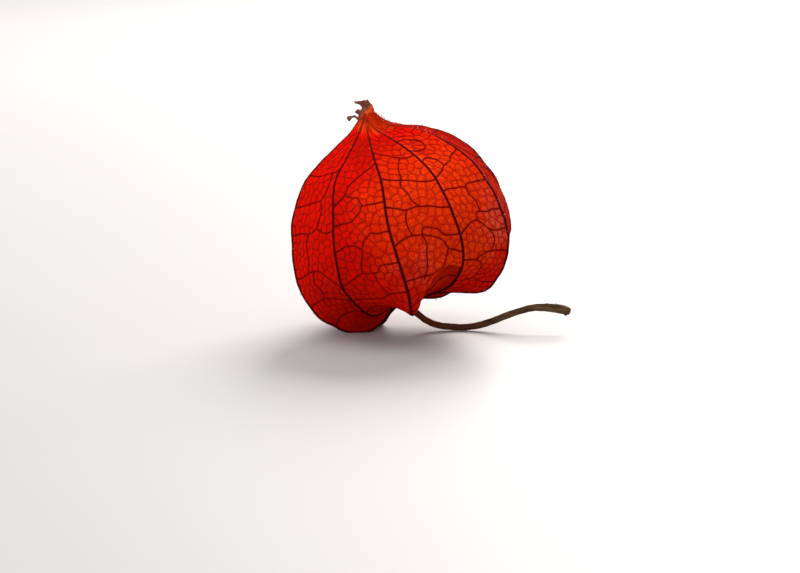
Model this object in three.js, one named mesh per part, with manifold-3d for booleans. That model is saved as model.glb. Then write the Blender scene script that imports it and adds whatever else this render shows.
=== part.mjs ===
// Physalis: a dried lantern husk on its stalk, with the berry inside it.
// Millimetres, +Z up. The front is -Y, and the stalk runs out towards +X.
import * as THREE from 'three';
import Module from 'manifold-3d';

const wasm = await Module();
wasm.setup();

const { degToRad, lerp } = THREE.MathUtils;

// ---- driving dimensions ----

const attachment = new THREE.Vector3(0.5, -1.5, 5.7); // where the stalk enters the husk
const huskLean = 10; // degrees from upright, tip towards -X

// Rib profiles in the husk's own frame, [radius, height] from the stalk to the neck under the tip.
// Main ribs are keels that end in the lobes of the base. Middle ribs run in the hollows between the lobes.
const mainProfile = [
  [1.9, 0.1], [5.6, -0.1], [10.0, -0.4], [14.4, 0.2], [17.8, 1.3], [20.3, 4.6], [22.0, 8.6], [22.8, 13.0],
  [22.5, 17.4], [21.2, 21.7], [18.9, 25.6], [15.8, 29.0], [11.9, 32.0], [7.6, 34.6], [4.3, 36.5], [2.0, 38.1],
  [1.3, 39.4],
];
const middleProfile = [
  [1.9, 0.1], [4.6, 0.2], [8.0, 0.8], [11.6, 2.2], [15.2, 4.4], [18.6, 7.3], [21.0, 10.7], [22.2, 14.6],
  [22.0, 18.6], [20.8, 22.5], [18.5, 26.1], [15.4, 29.2], [11.5, 32.1], [7.4, 34.6], [4.2, 36.5], [2.0, 38.1],
  [1.3, 39.4],
];
const rowCount = mainProfile.length - 1; // rows of net cells, one between each two profile points

// Azimuths in degrees, turned from the front (-Y) towards +X, at five evenly spaced rows from base to neck.
// Reach scales the radius at the three rows between the ends.
// Droop is how far the lobe hangs below the profile, and shoulder how far the rib rises near the neck.
const ribs = [
  { main: true, azimuth: [-75, -76, -77, -81, -92], reach: [1.04, 0.98, 1.04], droop: 4.3, shoulder: 0.5 },
  { main: false, azimuth: [-64, -42, -36, -42, -60], reach: [1.04, 0.99, 1], droop: 1.5, shoulder: 0.3 },
  { main: true, azimuth: [26, 5, -4, -12, -42], reach: [1.01, 1.02, 1.01], droop: -2.9, shoulder: -0.2 },
  { main: false, azimuth: [44, 39, 30, 22, -24], reach: [1.01, 1, 1.01], droop: -1.2, shoulder: -0.5 },
  { main: true, azimuth: [76, 73, 63, 64, 50], reach: [1, 1.03, 1.1], droop: -1.9, shoulder: -0.8 },
  { main: false, azimuth: [110, 105, 104, 101, 92], reach: [1, 1, 1.07], droop: -1, shoulder: -0.4 },
  { main: true, azimuth: [146, 144, 144, 140, 128], reach: [0.98, 0.96, 0.99], droop: 0, shoulder: -0.6 },
  { main: false, azimuth: [184, 182, 181, 176, 162], reach: [0.97, 0.96, 0.97], droop: 0.6, shoulder: -0.2 },
  { main: true, azimuth: [226, 220, 218, 214, 204], reach: [0.98, 0.97, 0.98], droop: 5.2, shoulder: 0.2 },
  { main: false, azimuth: [252, 251, 251, 248, 240], reach: [0.98, 0.97, 0.99], droop: 2.6, shoulder: 0.4 },
];

// Small uneven pushes of one rib round a row: turn in degrees, and out and rise in millimetres
const nudges = [
  { rib: 0, row: 5.5, spread: 1.6, turn: 0, out: 0.45, rise: 0 },
  { rib: 0, row: 10.6, spread: 0.8, turn: 0, out: 0.35, rise: 0 },
  { rib: 1, row: 8.5, spread: 1.6, turn: -1.2, out: 0, rise: 0 },
  { rib: 1, row: 10.9, spread: 1.1, turn: -2.5, out: 0, rise: 0 },
  { rib: 2, row: 10.7, spread: 1.5, turn: 1.4, out: 0, rise: 0 },
  { rib: 4, row: 3.0, spread: 0.8, turn: 0, out: 0, rise: -0.8 },
  { rib: 4, row: 4.3, spread: 0.8, turn: 0, out: -0.8, rise: 0 },
  { rib: 4, row: 6.5, spread: 1.2, turn: 0, out: 0.35, rise: 0 },
  { rib: 4, row: 9.8, spread: 1.0, turn: 0, out: -0.6, rise: 0 },
  { rib: 4, row: 12.7, spread: 1.0, turn: 0, out: 0, rise: 0.5 },
  { rib: 5, row: 2.1, spread: 1.1, turn: 0, out: 0, rise: -2.0 },
  { rib: 5, row: 9.6, spread: 1.2, turn: 0, out: -0.8, rise: 0 },
  { rib: 5, row: 12.4, spread: 1.2, turn: 0, out: 0, rise: 0.5 },
  { rib: 5, row: 14.3, spread: 0.9, turn: 0, out: -0.1, rise: -0.7 },
];

// The middle of each cross-section in the husk's own frame, [x, y] at evenly spaced rows from base to neck
const centreLine = [[0, 0], [0.9, -0.2], [1.8, -0.5], [2.2, -0.5], [2.1, -0.2], [1.2, 0.5], [-0.9, 1.5]];

const lobeRow = 2; // the row where a lobe hangs lowest
const lobeSpread = 1.5; // rows
const shoulderRow = 14.4; // the row where a shoulder rises highest
const shoulderSpread = 1.0; // rows
const panelFlatness = 0.5; // 0 is a round panel between ribs and 1 a flat one
const keelRounding = 0.35; // 0 is a sharp keel and 1 a rounded one
const crinkle = 0.35; // waves of the papery wall, each with its turns round the husk and its phase by the row
const waves = [
  { share: 0.5, turns: 7, phase: 0.9 },
  { share: 0.3, turns: 13, phase: -1.3 },
  { share: 0.2, turns: 4, phase: 2.3 },
];

// The raised net of veins, and the wall under it
const cellWidth = 4.6;
const veinHalfWidth = 0.42;
const veinHeight = 0.42;
const ribHalfWidth = 0.6;
const ribHeight = 0.6;
const cellPuff = 0.15; // how far the middle of a cell swells
const veinZigzag = 0.16; // rows
const veinArch = 0.35; // rows that a cross vein climbs on its way from rib to rib
const brickShift = 0.22; // cells that the uprights of each second row are shifted by, one way and the other
const looseness = { ribEnd: 0.15, across: 0.07, along: 0.06 }; // random shifts of the net's corners, in cells
const reliefFade = { rows: 2.5, least: 0.32 }; // the relief is lower near the stalk and the neck
const widestRib = 0.3; // share of a panel that half a rib may take
const veinSide = { spread: 1.25, most: 0.4 }; // of a vein's half width, and share of a cell at the most
const netSeed = 11;
const wall = 0.7;

// The five dry teeth of the tip: points from the neck's centre, and the width at the root, middle and end
const teeth = [
  { width: [1, 0.8, 0.9], path: [[-0.6, 0, -1.6], [-1.6, -0.4, -1], [-2.6, -0.4, -0.5], [-3.8, -0.4, -1.1]] },
  { width: [1.4, 1.2, 1], path: [[-0.5, -0.5, -1], [-0.9, -0.8, -0.4], [-1.6, -0.8, 0], [-2.4, -0.7, 0.4]] },
  { width: [1.5, 2.1, 1.0], path: [[0.1, 0.7, -1], [0.1, 0.8, 0.6], [-0.9, 0.5, 1.5], [-2.7, 0, 2.1]] },
  { width: [1.2, 1.2, 0.8], path: [[0.4, 0.6, -1.2], [0.4, 0.8, 0.5], [0.3, 0.8, 1.4], [0.1, 0.8, 2.3]] },
  { width: [1.2, 1.0, 0.8], path: [[0.7, -0.4, -1.2], [1.1, -0.6, 0], [1.2, -0.5, 0.8], [1.4, -0.4, 1.4]] },
];
const toothThickness = 0.7;
const mouthRadius = 0.42; // the opening between the teeth
const mouthRises = [-4, -2, 0, 1]; // of that opening, from inside the husk to past the neck

// The stalk, from its cut end to the receptacle inside the husk
const stalkPath = [
  [34.6, 0, 4.3], [33, 0, 4.8], [30.5, 0, 5.15], [27.5, 0, 5.1], [25, 0, 4.5], [22, -0.05, 3.45],
  [18.4, -0.1, 1.9], [14.7, -0.3, 0.95], [10.9, -0.6, 0.87], [7.8, -0.9, 1.35], [5.3, -1.2, 2.4],
  [3.3, -1.4, 3.75], [1.7, -1.5, 5.0], [0.75, -1.5, 6.1], [0.25, -1.5, 7.3], [0.05, -1.4, 8.3],
];
const stalkRadius = 0.8;
const stalkEndRadius = 0.95; // thicker at both ends
const stalkEndPower = 6; // a higher power keeps the thickening nearer the ends
const stalkPointsInside = 6; // the last points of the path, where the husk has its hole
const gap = 0.3; // between neighbouring pieces

const berryRadius = 6.5;
const berryTilt = 14; // degrees that the berry leans back from the husk's axis
const receptacleHeight = 2.9; // of its top over the attachment
const receptacleProfile = [[0, -1.2], [0.9, -1.2], [1.1, -0.9], [2.2, -0.45], [2.4, -0.2], [2.2, 0], [0, 0]];
const front = new THREE.Vector3(0, -1, 0);
const toothFacing = new THREE.Vector3(0, -1, 0.2); // the way that the teeth's flat sides look

// Facets round each limb, and steps along it
const toothFacets = [8, 8];
const mouthFacets = [8, 4];
const holeFacets = [12, 12];
const stalkFacets = [12, 48];
const receptacleFacets = 24;
const berryFacets = [32, 20];
const crestStep = 0.5; // rows between two points along a rib's crest

// ---- materials ----

const huskMaterial = new THREE.MeshStandardMaterial({ color: 0xd8360f, roughness: 0.6, metalness: 0 });
const stalkMaterial = new THREE.MeshStandardMaterial({ color: 0x6b4a22, roughness: 0.75, metalness: 0 });
const berryMaterial = new THREE.MeshStandardMaterial({ color: 0xd9480f, roughness: 0.3, metalness: 0 });

// ---- the husk's smooth form ----

const curveThrough = (points) => new THREE.SplineCurve(points.map(([x, y]) => new THREE.Vector2(x, y)));
const mainCurve = curveThrough(mainProfile);
const middleCurve = curveThrough(middleProfile);
const centreCurve = curveThrough(centreLine);
const evenly = (values) => curveThrough(values.map((value, i) => [i, value]));
const ribCurves = ribs.map(({ main, azimuth, reach }) => ({
  profile: main ? mainCurve : middleCurve,
  azimuth: evenly(azimuth),
  reach: evenly([1, ...reach, 1]),
}));
const up = new THREE.Vector3(0, 0, 1);
const leanTurn = new THREE.Quaternion().setFromAxisAngle(new THREE.Vector3(0, 1, 0), -degToRad(huskLean));

// Turns a point of the husk's own frame into one of the part's
function placed(x, y, z) {
  return new THREE.Vector3(x, y, z).applyQuaternion(leanTurn).add(attachment);
}

// A swelling of the given height round a middle row
const swell = (height, row, middle, spread) => height * Math.exp(-(((row - middle) / spread) ** 2));

function ribAt(index, row) {
  const number = index % ribs.length;
  const { profile, azimuth, reach } = ribCurves[number];
  const share = row / rowCount;
  const place = profile.getPoint(share);
  const hang = swell(ribs[number].droop, row, lobeRow, lobeSpread);
  const rise = swell(ribs[number].shoulder, row, shoulderRow, shoulderSpread);
  let turned = azimuth.getPoint(share).y + (index < ribs.length ? 0 : 360);
  let radius = place.x * reach.getPoint(share).y;
  let height = place.y - hang + rise;
  nudges.forEach((nudge) => {
    if (nudge.rib !== number) return;
    turned += swell(nudge.turn, row, nudge.row, nudge.spread);
    radius += swell(nudge.out, row, nudge.row, nudge.spread);
    height += swell(nudge.rise, row, nudge.row, nudge.spread);
  });
  return { azimuth: degToRad(turned), radius, height };
}

function wave(turn, row) {
  const heights = waves.map(({ share, turns, phase }) => share * Math.sin(turns * turn + phase * row));
  return heights.reduce((sum, height) => sum + height, 0);
}

// A point of the wall's outside before any relief. Place counts ribs round the husk, and rows run upwards.
function huskPoint(place, row) {
  const turned = (place + ribs.length) % ribs.length;
  const index = Math.floor(turned);
  const across = turned - index;
  const left = ribAt(index, row);
  const right = ribAt(index + 1, row);
  const eased = across - (keelRounding * Math.sin(2 * Math.PI * across)) / (2 * Math.PI);
  const azimuth = lerp(left.azimuth, right.azimuth, across);
  const round = lerp(left.radius, right.radius, eased);
  const sag = round * (1 - Math.cos((right.azimuth - left.azimuth) / 2)) * 4 * across * (1 - across);
  const turn = (2 * Math.PI * turned) / ribs.length;
  const ripple = crinkle * wave(turn, row) * Math.sin((Math.PI * row) / rowCount);
  const radius = round - panelFlatness * sag + ripple;
  const height = lerp(left.height, right.height, eased);
  const centre = centreCurve.getPoint(row / rowCount);
  return placed(centre.x + radius * Math.sin(azimuth), centre.y - radius * Math.cos(azimuth), height);
}

function huskNormal(place, row) {
  const step = 0.05; // ribs and rows
  const low = Math.max(0, row - step);
  const high = Math.min(rowCount, row + step);
  const around = huskPoint(place + step, row).sub(huskPoint(place - step, row));
  const along = huskPoint(place, high).sub(huskPoint(place, low));
  return around.cross(along).normalize();
}

// A point of the wall moved out by the given distance. The lobes that reach the ground lie flat on it.
function wallPoint(place, row, out) {
  const point = huskPoint(place, row).addScaledVector(huskNormal(place, row), out);
  point.z = Math.max(point.z, Math.max(0, -out));
  return point;
}

function reliefScale(row) {
  return Math.min(1, reliefFade.least + Math.min(row, rowCount - row) / reliefFade.rows);
}

// ---- the net of veins, as flat cells on the wall ----

function randomSource(seed) {
  let state = seed;
  return () => {
    state = (Math.imul(state, 1664525) + 1013904223) >>> 0;
    return state / 2 ** 32;
  };
}

function panelWidth(panel, row) {
  return huskPoint(panel, row).distanceTo(huskPoint(panel + 1, row));
}

// The corners of one panel's cells: lines run across from rib to rib, and uprights join them like brickwork
function panelNet(panel, random) {
  const jitter = (size) => (random() * 2 - 1) * size;
  const arch = (across) => veinArch * 4 * across * (1 - across);
  const lines = [];
  for (let line = 0; line <= rowCount; line++) {
    const free = line > 0 && line < rowCount ? looseness.ribEnd : 0;
    lines.push([0, 1].map((across) => ({ panel, across, row: line + jitter(free) })));
  }
  const rows = [];
  for (let row = 0; row < rowCount; row++) {
    const count = Math.max(1, Math.round(panelWidth(panel, row + 0.5) / cellWidth));
    const uprights = [];
    for (let place = 1; place < count; place++) {
      const middle = (place + (row % 2 ? brickShift : -brickShift)) / count;
      const [low, high] = [row + veinZigzag, row + 1 - veinZigzag].map((at) => {
        const across = middle + jitter(looseness.across) / count;
        return { panel, across, row: at + jitter(looseness.along) + arch(across) };
      });
      lines[row].push(low);
      lines[row + 1].push(high);
      uprights.push({ low, high });
    }
    rows.push(uprights);
  }
  lines.forEach((line) => line.sort((a, b) => a.across - b.across));
  const cells = rows.map((uprights, row) => {
    const ends = (side) => ({ low: lines[row].at(side), high: lines[row + 1].at(side) });
    const bars = [ends(0), ...uprights, ends(-1)];
    const between = (line, a, b) => line.slice(line.indexOf(a), line.indexOf(b) + 1);
    return bars.slice(1).map((bar, i) => [
      ...between(lines[row], bars[i].low, bar.low),
      ...between(lines[row + 1], bars[i].high, bar.high).reverse(),
    ]);
  });
  return { lines, cells };
}

const random = randomSource(netSeed);
const nets = ribs.map((rib, panel) => panelNet(panel, random));

// Where a corner of the net stands on the wall: the panels stop short of the ribs between them
function ribPlace({ panel, across, row }) {
  const width = panelWidth(panel, row);
  const edge = Math.min(widestRib, ribHalfWidth / width);
  return panel + edge + across * (1 - 2 * edge);
}

// ---- closed skins built on the net ----

class Skin {
  constructor() {
    this.positions = [];
    this.triangles = [];
    this.seen = new Map();
  }

  add(point) {
    this.positions.push(point.x, point.y, point.z);
    return this.positions.length / 3 - 1;
  }

  // The vertex of a net corner, made once
  corner(corner, out) {
    if (!this.seen.has(corner)) this.seen.set(corner, this.add(wallPoint(ribPlace(corner), corner.row, out)));
    return this.seen.get(corner);
  }

  face(a, b, c) {
    this.triangles.push(a, b, c);
  }

  // Closes the strip between two chains of vertices, each a list of { row, vertex } from base to neck
  zip(left, right) {
    let i = 0;
    let j = 0;
    while (i < left.length - 1 || j < right.length - 1) {
      const stepLeft = j === right.length - 1 || (i < left.length - 1 && left[i + 1].row <= right[j + 1].row);
      this.face(left[i].vertex, right[j].vertex, stepLeft ? left[i + 1].vertex : right[j + 1].vertex);
      if (stepLeft) i += 1;
      else j += 1;
    }
  }

  // Closes a ring of vertices with a fan. The ring runs the way that the azimuth turns.
  close(ring, upwards) {
    const sum = new THREE.Vector3();
    ring.forEach((v) => sum.add(new THREE.Vector3().fromArray(this.positions, 3 * v)));
    const middle = this.add(sum.divideScalar(ring.length));
    ring.forEach((v, i) => {
      const next = ring[(i + 1) % ring.length];
      if (upwards) this.face(v, next, middle);
      else this.face(next, v, middle);
    });
  }

  solid() {
    return new wasm.Manifold(
      new wasm.Mesh({
        numProp: 3,
        vertProperties: new Float32Array(this.positions),
        triVerts: new Uint32Array(this.triangles),
      }),
    );
  }
}

// The mean place of a cell's corners, and each corner drawn in towards it by the vein's half width
function cellMiddle(cell) {
  const mean = (pick) => cell.reduce((sum, corner) => sum + pick(corner), 0) / cell.length;
  return { panel: cell[0].panel, across: mean((c) => c.across), row: mean((c) => c.row) };
}

function drawnIn(corner, middle) {
  const from = huskPoint(ribPlace(corner), corner.row);
  const size = from.distanceTo(huskPoint(ribPlace(middle), middle.row));
  const share = Math.min(veinSide.most, (veinSide.spread * veinHalfWidth) / size);
  const across = lerp(corner.across, middle.across, share);
  return { panel: corner.panel, across, row: lerp(corner.row, middle.row, share) };
}

// A closed skin between two lines of the net: raised veins and ribs with relief, and smooth without it.
function netSkin(firstLine, lastLine, out, relief) {
  const skin = new Skin();
  const raised = (row) => out + (relief ? veinHeight * reliefScale(row) : 0);
  const vertexOf = (corner) => skin.corner(corner, raised(corner.row));
  const plain = (place, extra) => skin.add(wallPoint(ribPlace(place), place.row, out + extra));

  nets.forEach((net) => {
    net.cells.slice(firstLine, lastLine).flat().forEach((cell) => {
      const middle = cellMiddle(cell);
      const rim = cell.map(vertexOf);
      let floor = rim;
      if (relief) {
        floor = cell.map((corner) => plain(drawnIn(corner, middle), 0));
        rim.forEach((v, i) => {
          const next = (i + 1) % rim.length;
          skin.face(v, rim[next], floor[next]);
          skin.face(v, floor[next], floor[i]);
        });
      }
      const centre = plain(middle, relief ? cellPuff * reliefScale(middle.row) : 0);
      floor.forEach((v, i) => skin.face(v, floor[(i + 1) % floor.length], centre));
    });
  });

  const baseRing = [];
  const neckRing = [];
  ribs.forEach((rib, index) => {
    const chain = (net, side) => {
      const corners = net.lines.slice(firstLine, lastLine + 1).map((line) => line.at(side));
      return corners.map((corner) => ({ row: corner.row, vertex: vertexOf(corner) }));
    };
    const left = chain(nets[(index + ribs.length - 1) % ribs.length], -1);
    const right = chain(nets[index], 0);
    if (relief) {
      const crest = [];
      for (let row = firstLine; row <= lastLine; row += crestStep) {
        crest.push({ row, vertex: skin.add(wallPoint(index, row, out + ribHeight * reliefScale(row))) });
      }
      skin.zip(left, crest);
      skin.zip(crest, right);
      baseRing.push(crest[0].vertex);
      neckRing.push(crest.at(-1).vertex);
    } else {
      skin.zip(left, right);
    }
    baseRing.push(...nets[index].lines[firstLine].map(vertexOf));
    neckRing.push(...nets[index].lines[lastLine].map(vertexOf));
  });
  skin.close(baseRing, false);
  skin.close(neckRing, true);
  return skin.solid();
}

// ---- tapered limbs: teeth, the stalk and its hole ----

// A closed limb along a curve. sizeAt gives its half width and thickness, and its flat looks towards face.
function limb(points, [sides, steps], sizeAt, face) {
  const curve = new THREE.CatmullRomCurve3(points.map((point) => new THREE.Vector3(...point)));
  const skin = new Skin();
  const rings = [];
  for (let step = 0; step <= steps; step++) {
    const share = step / steps;
    const centre = curve.getPointAt(share);
    const tangent = curve.getTangentAt(share);
    const wide = new THREE.Vector3().crossVectors(tangent, face).normalize();
    const thick = new THREE.Vector3().crossVectors(wide, tangent);
    const [halfWidth, halfThickness] = sizeAt(share);
    const ring = [];
    for (let side = 0; side < sides; side++) {
      const angle = (2 * Math.PI * side) / sides;
      const point = centre.clone();
      point.addScaledVector(wide, halfWidth * Math.cos(angle));
      point.addScaledVector(thick, -halfThickness * Math.sin(angle));
      point.z = Math.max(point.z, 0);
      ring.push(skin.add(point));
    }
    if (step > 0) {
      const last = rings.at(-1);
      ring.forEach((v, i) => {
        const next = (i + 1) % sides;
        skin.face(last[i], last[next], ring[next]);
        skin.face(last[i], ring[next], v);
      });
    }
    rings.push(ring);
  }
  skin.close(rings[0], false);
  skin.close(rings.at(-1), true);
  return skin.solid();
}

function between([root, middle, end], share) {
  return share < 0.5 ? lerp(root, middle, share * 2) : lerp(middle, end, share * 2 - 1);
}

function stalkSize(share) {
  const radius = stalkRadius + (stalkEndRadius - stalkRadius) * (2 * share - 1) ** stalkEndPower;
  return [radius, radius];
}

// A closed three.js geometry as a solid
function solidOf(geometry) {
  const skin = new Skin();
  const position = geometry.getAttribute('position');
  const named = new Map();
  const vertices = [];
  for (let i = 0; i < position.count; i++) {
    const point = new THREE.Vector3().fromBufferAttribute(position, i);
    const name = point.toArray().map((x) => Math.round(x * 1e4)).join();
    if (!named.has(name)) named.set(name, skin.add(point));
    vertices.push(named.get(name));
  }
  const index = geometry.getIndex();
  for (let i = 0; i < index.count; i += 3) {
    const [a, b, c] = [0, 1, 2].map((k) => vertices[index.getX(i + k)]);
    if (a !== b && b !== c && c !== a) skin.face(a, b, c);
  }
  return skin.solid();
}

// ---- the pieces ----

function makeHusk() {
  const neck = placed(...centreLine.at(-1), mainProfile.at(-1)[1]);
  let husk = netSkin(0, rowCount, 0, true);
  teeth.forEach(({ path, width }) => {
    const points = path.map((point) => neck.clone().add(new THREE.Vector3(...point)).toArray());
    const size = (share) => [between(width, share) / 2, toothThickness / 2];
    husk = husk.add(limb(points, toothFacets, size, toothFacing));
  });
  const inside = netSkin(1, rowCount - 1, -wall, false);
  const mouth = mouthRises.map((rise) => neck.clone().addScaledVector(up, rise).toArray());
  const opening = limb(mouth, mouthFacets, () => [mouthRadius, mouthRadius], toothFacing);
  const holeRadius = stalkEndRadius + gap;
  const hole = limb(stalkPath.slice(-stalkPointsInside), holeFacets, () => [holeRadius, holeRadius], front);
  return husk.subtract(inside).subtract(opening).subtract(hole);
}

const berryAxis = placed(0, Math.sin(degToRad(berryTilt)), Math.cos(degToRad(berryTilt))).sub(attachment);
const receptacleTop = placed(0, 0, receptacleHeight);
const berryCentre = receptacleTop.clone().addScaledVector(berryAxis, berryRadius + gap);
const axisTurn = new THREE.Quaternion().setFromUnitVectors(up, berryAxis);

function makeStem() {
  const stalk = limb(stalkPath, stalkFacets, stalkSize, front);
  const profile = receptacleProfile.map(([radius, height]) => new THREE.Vector2(radius, height));
  const receptacle = new THREE.LatheGeometry(profile, receptacleFacets);
  receptacle.rotateX(Math.PI / 2); // its axis from +Y to +Z
  receptacle.applyQuaternion(axisTurn);
  receptacle.translate(...receptacleTop);
  return stalk.add(solidOf(receptacle));
}

function makeBerry() {
  const ball = new THREE.SphereGeometry(berryRadius, ...berryFacets);
  ball.rotateX(Math.PI / 2);
  ball.applyQuaternion(axisTurn);
  ball.translate(...berryCentre);
  return solidOf(ball);
}

function meshOf(name, solid, material) {
  const { vertProperties, triVerts } = solid.getMesh();
  const geometry = new THREE.BufferGeometry();
  geometry.setAttribute('position', new THREE.BufferAttribute(vertProperties, 3));
  geometry.setIndex(new THREE.BufferAttribute(triVerts, 1));
  const mesh = new THREE.Mesh(geometry, material);
  mesh.name = name;
  return mesh;
}

const physalis = new THREE.Group();
physalis.add(meshOf('husk', makeHusk(), huskMaterial));
physalis.add(meshOf('stem', makeStem(), stalkMaterial));
physalis.add(meshOf('berry', makeBerry(), berryMaterial));

// The origin is under the middle of the whole, on the ground
const bounds = new THREE.Box3().setFromObject(physalis);
const middle = bounds.getCenter(new THREE.Vector3());
physalis.position.set(-middle.x, -middle.y, -bounds.min.z);

export default physalis;
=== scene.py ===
import math
import random
import bpy
import numpy as np
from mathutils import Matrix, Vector, geometry, kdtree, noise


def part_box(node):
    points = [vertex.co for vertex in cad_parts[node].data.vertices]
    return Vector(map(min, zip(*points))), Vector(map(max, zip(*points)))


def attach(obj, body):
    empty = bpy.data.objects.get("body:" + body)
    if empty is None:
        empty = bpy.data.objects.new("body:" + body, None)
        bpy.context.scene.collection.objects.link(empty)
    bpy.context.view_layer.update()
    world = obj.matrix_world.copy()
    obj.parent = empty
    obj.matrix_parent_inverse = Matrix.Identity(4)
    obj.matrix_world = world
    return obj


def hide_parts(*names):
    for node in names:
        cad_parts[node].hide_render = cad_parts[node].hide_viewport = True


# Physalis: a papery lantern husk with its veins and ribs, its stalk, and the berry inside.
# Sizes are in millimetres in the fruit's own frame, and inRow turns them to metres in the shared one.

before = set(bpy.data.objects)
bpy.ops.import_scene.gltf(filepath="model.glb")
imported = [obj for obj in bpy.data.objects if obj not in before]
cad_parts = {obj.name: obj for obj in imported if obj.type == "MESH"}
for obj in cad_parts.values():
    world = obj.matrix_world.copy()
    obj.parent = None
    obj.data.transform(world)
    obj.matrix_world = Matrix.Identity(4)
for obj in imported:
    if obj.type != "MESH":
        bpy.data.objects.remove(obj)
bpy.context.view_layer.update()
bpy.ops.object.select_all(action="DESELECT")
mm = 0.001
noise.seed_set(23)  # or the noise vectors differ from run to run

# the form of the husk, which every part of it follows
huskForm = {
    "attachment": (0.5, -1.5, 5.7),  # where the stalk enters the husk
    "lean": 10,  # degrees from upright, tip towards -X
    "rows": 16,  # from the stalk to the neck under the tip
    # [radius, height] along a keel, and along a rib in the hollow between two lobes
    "mainProfile": [(1.9, 0.1), (5.6, -0.1), (10.0, -0.4), (14.4, 0.2), (17.8, 1.3), (20.3, 4.6),
                    (22.0, 8.6), (22.8, 13.0), (22.5, 17.4), (21.2, 21.7), (18.9, 25.6), (15.8, 29.0),
                    (11.9, 32.0), (7.6, 34.6), (4.3, 36.5), (2.0, 38.1), (1.3, 39.4)],
    "middleProfile": [(1.9, 0.1), (4.6, 0.2), (8.0, 0.8), (11.6, 2.2), (15.2, 4.4), (18.6, 7.3),
                      (21.0, 10.7), (22.2, 14.6), (22.0, 18.6), (20.8, 22.5), (18.5, 26.1), (15.4, 29.2),
                      (11.5, 32.1), (7.4, 34.6), (4.2, 36.5), (2.0, 38.1), (1.3, 39.4)],
    # keel or not, azimuth and reach at rows 0, 4, 8, 12 and 16, droop at its foot, rise at its shoulder
    "ribs": [
        (True, (-75, -76, -77, -81, -92), (1, 1.04, 0.98, 1.04, 1), 3.75, 0.5),
        (False, (-64, -42, -35.5, -42, -60), (1, 1.045, 0.99, 1, 1), 1.5, 0.3),
        (True, (26, 5, -4, -12, -42), (1, 1.01, 1.02, 1.01, 1), -2.9, -0.2),
        (False, (44, 39, 30, 22.5, -24), (1, 1.01, 1, 1.01, 1), -1.2, -0.5),
        (True, (76, 73, 63, 64, 50), (1, 1, 1.035, 1.1, 1), -1.9, -0.8),
        (False, (110, 105, 104, 101, 92), (1, 1, 1.005, 1.07, 1), -1.0, -0.4),
        (True, (146, 144, 144, 140, 128), (1, 0.98, 0.96, 0.99, 1), 0.0, -0.6),
        (False, (184, 182, 181, 176, 162), (1, 0.97, 0.96, 0.97, 1), 0.6, -0.2),
        (True, (226, 220, 218, 214, 204), (1, 0.98, 0.97, 0.98, 1), 4.7, 0.2),
        (False, (252, 251, 251, 248, 240), (1, 0.98, 0.97, 0.99, 1), 2.6, 0.4),
    ],
    # small pushes of one rib: rib, row, spread in rows, turn in degrees, out and up in millimetres
    "nudges": [
        (0, 1.1, 0.7, 0, 0, -0.7), (0, 5.5, 1.6, 0, 0.45, 0), (0, 10.6, 0.8, 0, 0.35, 0),
        (1, 8.5, 1.6, -1.2, 0, 0), (1, 10.9, 1.1, -2.5, 0, 0),
        (2, 10.7, 1.5, 1.4, 0, 0),
        (4, 3.0, 0.8, 0, 0, -0.8), (4, 4.3, 0.8, 0, -0.8, 0), (4, 6.5, 1.2, 0, 0.35, 0), (4, 9.8, 1.0, 0, -0.6, 0),
        (4, 10.0, 2.2, -3.0, 0, 0),
        (4, 12.7, 1.0, 0, 0, 0.5),
        (5, 2.1, 1.1, 0, 0, -2.0), (5, 9.6, 1.2, 0, -0.8, 0), (5, 12.4, 1.2, 0, 0, 0.5), (5, 14.3, 0.9, 0, -0.1, -0.7),
    ],
    "centreLine": [(0, 0), (0.9, -0.2), (1.8, -0.5), (2.2, -0.5), (2.1, -0.2), (1.2, 0.5), (-0.9, 1.5)],
    "lobes": (2, 1.5),  # middle row and spread of the droops, and of the rises
    "shoulders": (14.4, 1.0),
    "panelFlatness": 0.5,
    "keelRounding": 0.35,
    "crinkle": 0.35,
    "waves": [(0.5, 7, 0.9), (0.3, 13, -1.3), (0.2, 4, 2.3)],  # share, turns round the husk, phase by the row
}

rowCount = huskForm["rows"]
ribCount = len(huskForm["ribs"])
ribIsMain, ribAzimuth, ribReach, ribDroop, ribShoulder = (np.array(column) for column in zip(*huskForm["ribs"]))
lean = math.radians(huskForm["lean"])
attachment = np.array(huskForm["attachment"])


def splineThrough(points, share):
    # a smooth curve through evenly spaced points, at shares from 0 to 1
    points = np.array(points, float)
    last = len(points) - 1
    at = np.asarray(share, float) * last
    index = np.clip(np.floor(at).astype(int), 0, last)
    part = (at - index)[..., None]
    before = points[np.maximum(index - 1, 0)]
    start = points[index]
    end = points[np.minimum(index + 1, last)]
    after = points[np.minimum(index + 2, last)]
    leaving = (end - before) / 2
    arriving = (after - start) / 2
    cubic = 2 * start - 2 * end + leaving + arriving
    square = -3 * start + 3 * end - 2 * leaving - arriving
    return cubic * part ** 3 + square * part ** 2 + leaving * part + start


def smoothValues(values, share):
    return splineThrough([(value,) for value in values], share)[..., 0]


def unit(vectors):
    return vectors / np.linalg.norm(vectors, axis=-1, keepdims=True)


def heading(path, share, step):
    # the direction of a smooth path at shares of its length
    return unit(splineThrough(path, np.minimum(share + step, 1)) - splineThrough(path, np.maximum(share - step, 0)))


def bell(value, middle, spread):
    return np.exp(-((value - middle) / spread) ** 2)


def lengthsAlong(path):
    return np.concatenate(([0], np.cumsum(np.linalg.norm(np.diff(path, axis=0), axis=1))))


def placed(x, y, z):
    # from the husk's own upright frame to the leaning one
    turned = (x * math.cos(lean) - z * math.sin(lean), y + 0 * x, x * math.sin(lean) + z * math.cos(lean))
    return np.stack(turned, -1) + attachment


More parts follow.
